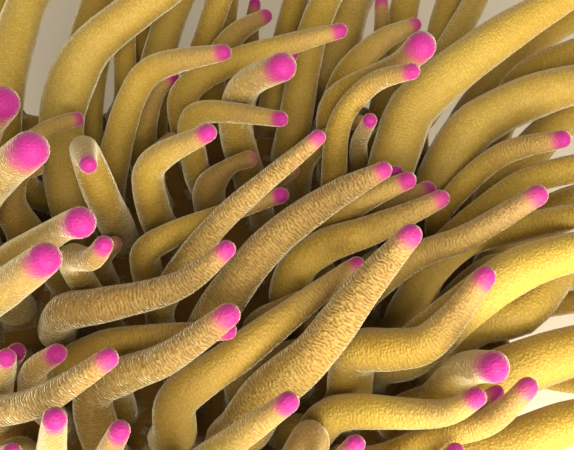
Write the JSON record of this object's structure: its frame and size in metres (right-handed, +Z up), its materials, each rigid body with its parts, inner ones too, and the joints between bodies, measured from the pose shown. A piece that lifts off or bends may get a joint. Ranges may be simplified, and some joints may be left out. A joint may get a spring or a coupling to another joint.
{
  "type": "giant caribbean sea anemone",
  "caption": "Life-size sea anemone on a flat foot: trumpet column, dished disc with a slit mouth, long tapering pink-tipped tentacles streaming to one side.",
  "frame": {"origin": "centre of the foot's flat underside, on the floor", "axes": "+Z up along the body's axis, +X the way the tentacles stream, +Y away from the viewer of the reference view"},
  "size_m": [0.2897, 0.2926, 0.1602],
  "materials": {
    "foot_flesh": "soft wet flesh, tan, flushed orange",
    "column_flesh": "smooth wet flesh, cream tan with faint lines",
    "disc_flesh": "soft wet flesh, olive brown",
    "lip_flesh": "soft wet flesh, pale cream",
    "tentacle_flesh": "velvety wet flesh, golden olive tan, with magenta tips"
  },
  "bodies": {
    "root": {"pedal_disc": "foot_flesh", "column_lower": "column_flesh", "column_upper": "column_flesh", "mouth_field": "disc_flesh", "mouth_lips": "lip_flesh", "tentacle_01_root_length": "tentacle_flesh", "tentacle_01_tip_length": "tentacle_flesh", "tentacle_02_root_length": "tentacle_flesh", "tentacle_02_tip_length": "tentacle_flesh", "tentacle_03_root_length": "tentacle_flesh", "tentacle_03_tip_length": "tentacle_flesh", "tentacle_04_root_length": "tentacle_flesh", "tentacle_04_tip_length": "tentacle_flesh", "tentacle_05_root_length": "tentacle_flesh", "tentacle_05_tip_length": "tentacle_flesh", "tentacle_06_root_length": "tentacle_flesh", "tentacle_06_tip_length": "tentacle_flesh", "tentacle_07_root_length": "tentacle_flesh", "tentacle_07_tip_length": "tentacle_flesh", "tentacle_08_root_length": "tentacle_flesh", "tentacle_08_tip_length": "tentacle_flesh", "tentacle_09_root_length": "tentacle_flesh", "tentacle_09_tip_length": "tentacle_flesh", "tentacle_10_root_length": "tentacle_flesh", "tentacle_10_tip_length": "tentacle_flesh", "tentacle_11_root_length": "tentacle_flesh", "tentacle_11_tip_length": "tentacle_flesh", "tentacle_12_root_length": "tentacle_flesh", "tentacle_12_tip_length": "tentacle_flesh", "tentacle_13_root_length": "tentacle_flesh", "tentacle_13_tip_length": "tentacle_flesh", "tentacle_14_root_length": "tentacle_flesh", "tentacle_14_tip_length": "tentacle_flesh", "tentacle_15_root_length": "tentacle_flesh", "tentacle_15_tip_length": "tentacle_flesh", "tentacle_16_root_length": "tentacle_flesh", "tentacle_16_tip_length": "tentacle_flesh", "tentacle_17_root_length": "tentacle_flesh", "tentacle_17_tip_length": "tentacle_flesh", "disc_cycle1_arc1": "tentacle_flesh", "disc_cycle1_arc2": "tentacle_flesh", "disc_cycle2_arc1": "tentacle_flesh", "disc_cycle2_arc2": "tentacle_flesh", "disc_cycle2_arc3": "tentacle_flesh", "disc_cycle3_arc1": "tentacle_flesh", "disc_cycle3_arc2": "tentacle_flesh", "disc_cycle3_arc3": "tentacle_flesh", "disc_cycle3_arc4": "tentacle_flesh", "disc_cycle4_arc1": "tentacle_flesh", "disc_cycle4_arc2": "tentacle_flesh", "disc_cycle4_arc3": "tentacle_flesh", "disc_cycle4_arc4": "tentacle_flesh", "disc_cycle5_arc1": "tentacle_flesh", "disc_cycle5_arc2": "tentacle_flesh", "disc_cycle5_arc3": "tentacle_flesh", "disc_cycle5_arc4": "tentacle_flesh", "disc_cycle5_arc5": "tentacle_flesh", "disc_cycle5_arc6": "tentacle_flesh", "disc_cycle5_arc7": "tentacle_flesh"}
  },
  "joints": []
}
